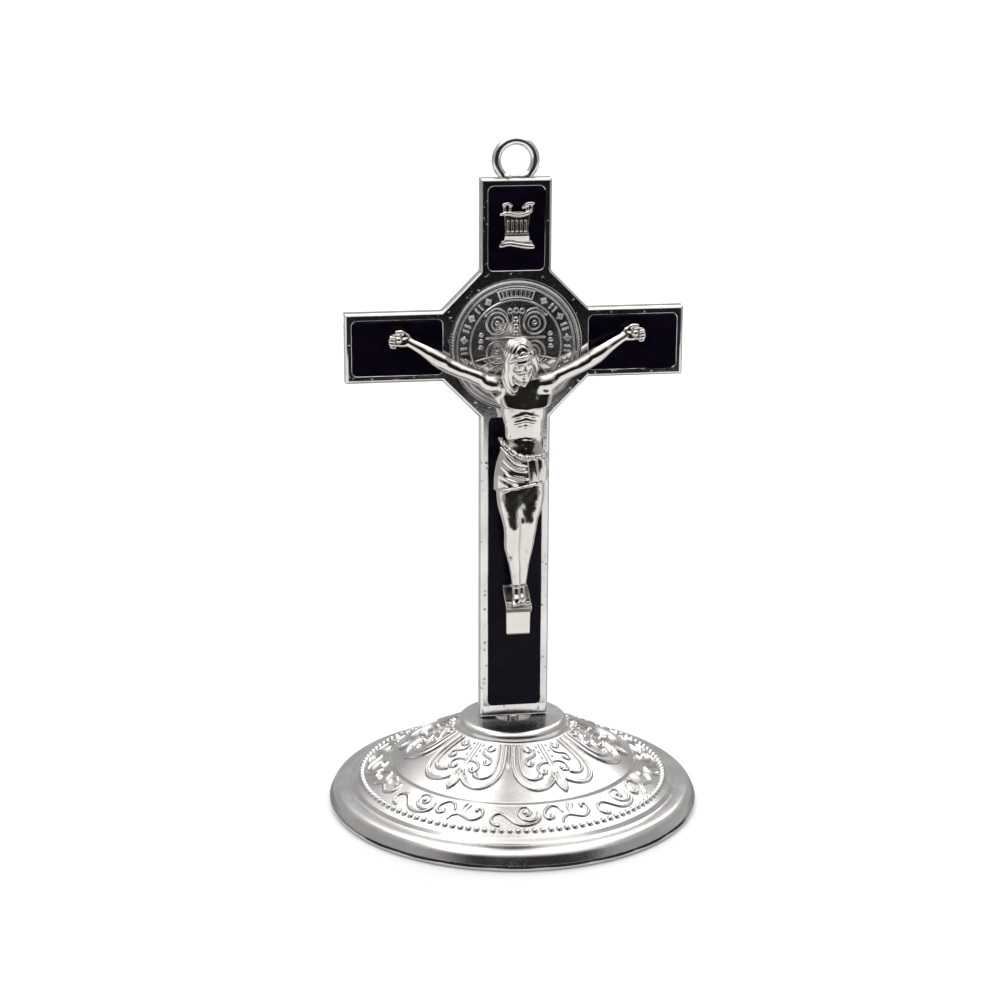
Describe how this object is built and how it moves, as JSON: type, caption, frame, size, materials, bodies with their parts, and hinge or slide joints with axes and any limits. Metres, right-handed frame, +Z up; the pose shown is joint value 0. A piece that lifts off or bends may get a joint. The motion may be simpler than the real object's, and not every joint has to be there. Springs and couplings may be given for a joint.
{
  "type": "altar cross",
  "caption": "Small standing crucifix: plated cast cross with black enamel panels, inset medal, scroll and cast figure, on a round embossed sheet-metal foot.",
  "frame": {"origin": "centre of the foot's underside, on the surface it stands on", "axes": "+Z up along the cross, +X to the right of a viewer facing the front, -Y out of the cross's front"},
  "size_m": [0.0668, 0.0668, 0.1204],
  "materials": {
    "plated_casting": "polished plated casting with fine pits",
    "plated_wire": "polished",
    "black_enamel": "glossy",
    "medal_metal": "polished relief, darker in the field",
    "figure_metal": "polished cast",
    "rivet_metal": "polished",
    "base_sheet": "satin, brighter on the embossing",
    "washer_steel": "plain"
  },
  "bodies": {
    "foot": {"base_shell": "base_sheet", "base_washer": "washer_steel"},
    "cross": {"cross_casting": "plated_casting", "hanging_loop": "plated_wire", "enamel_upper": "black_enamel", "enamel_left": "black_enamel", "enamel_right": "black_enamel", "enamel_lower": "black_enamel", "medal": "medal_metal", "titulus_scroll": "figure_metal", "corpus": "figure_metal", "hand_rivets": "rivet_metal", "foot_rivet": "rivet_metal"}
  },
  "joints": [
    {"name": "cross_turn", "type": "hinge", "parent": "foot", "child": "cross", "pos_m": [0, 0, 0.016], "axis": [0, 0, 1], "continuous": true}
  ]
}
